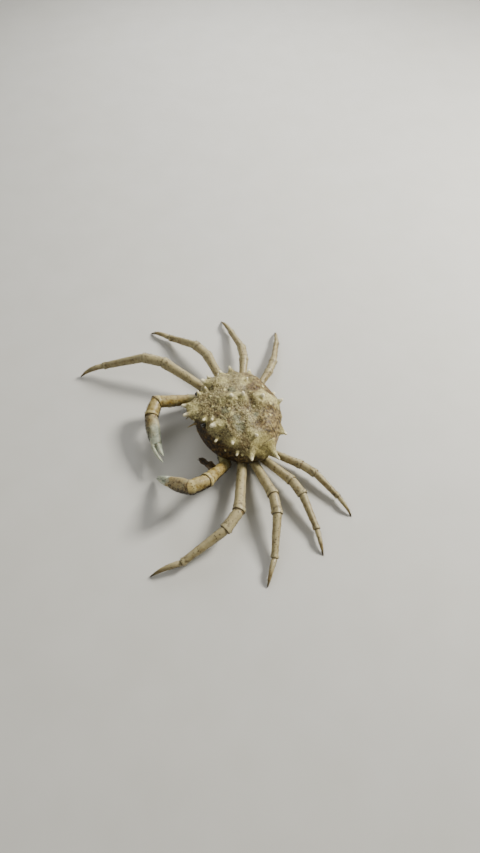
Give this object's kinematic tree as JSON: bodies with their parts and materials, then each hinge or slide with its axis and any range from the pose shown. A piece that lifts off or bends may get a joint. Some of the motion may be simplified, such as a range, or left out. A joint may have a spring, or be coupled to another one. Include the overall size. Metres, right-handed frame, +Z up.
{
  "type": "spider crab",
  "caption": "Still, life-size model of a spiny spider crab resting on its belly, front end raised, claws curled in front and walking legs spread.",
  "frame": {"origin": "centre of the flat under the folded tail flap, on which the crab rests, at floor level", "axes": "+Z up, -Y the way the crab faces, +X the crab's left"},
  "size_m": [0.2625, 0.192, 0.0475],
  "materials": {
    "shell": "wet, granular shell in tan and khaki with olive-grey silt, cream spine roots and white spine tips",
    "belly": "smooth, pale buff underside plates, damp",
    "limb": "wet, beige-khaki leg shell with brown joints and short bristles",
    "claw": "wet, golden-brown claw arms with dark brown joints and fuzz",
    "finger": "golden tan palm fading to pale blue-white fingers, wet",
    "eye": "glossy, near-black eye on a short brown stalk",
    "feeler": "brown, ringed feeler"
  },
  "bodies": {
    "root": {"carapace": "shell", "sternum": "belly", "abdomen": "belly", "maxilliped_left": "belly", "eye_left": "eye", "antenna_left": "feeler", "cheliped_left_ischium": "claw", "cheliped_left_merus": "claw", "cheliped_left_carpus": "claw", "cheliped_left_palm": "finger", "cheliped_left_dactyl": "finger", "leg1_left_ischium": "limb", "leg1_left_merus": "limb", "leg1_left_carpus": "limb", "leg1_left_propodus": "limb", "leg1_left_dactyl": "limb", "leg2_left_ischium": "limb", "leg2_left_merus": "limb", "leg2_left_carpus": "limb", "leg2_left_propodus": "limb", "leg2_left_dactyl": "limb", "leg3_left_ischium": "limb", "leg3_left_merus": "limb", "leg3_left_carpus": "limb", "leg3_left_propodus": "limb", "leg3_left_dactyl": "limb", "leg4_left_ischium": "limb", "leg4_left_merus": "limb", "leg4_left_carpus": "limb", "leg4_left_propodus": "limb", "leg4_left_dactyl": "limb", "maxilliped_right": "belly", "eye_right": "eye", "antenna_right": "feeler", "cheliped_right_ischium": "claw", "cheliped_right_merus": "claw", "cheliped_right_carpus": "claw", "cheliped_right_palm": "finger", "cheliped_right_dactyl": "finger", "leg1_right_ischium": "limb", "leg1_right_merus": "limb", "leg1_right_carpus": "limb", "leg1_right_propodus": "limb", "leg1_right_dactyl": "limb", "leg2_right_ischium": "limb", "leg2_right_merus": "limb", "leg2_right_carpus": "limb", "leg2_right_propodus": "limb", "leg2_right_dactyl": "limb", "leg3_right_ischium": "limb", "leg3_right_merus": "limb", "leg3_right_carpus": "limb", "leg3_right_propodus": "limb", "leg3_right_dactyl": "limb", "leg4_right_ischium": "limb", "leg4_right_merus": "limb", "leg4_right_carpus": "limb", "leg4_right_propodus": "limb", "leg4_right_dactyl": "limb"}
  },
  "joints": []
}
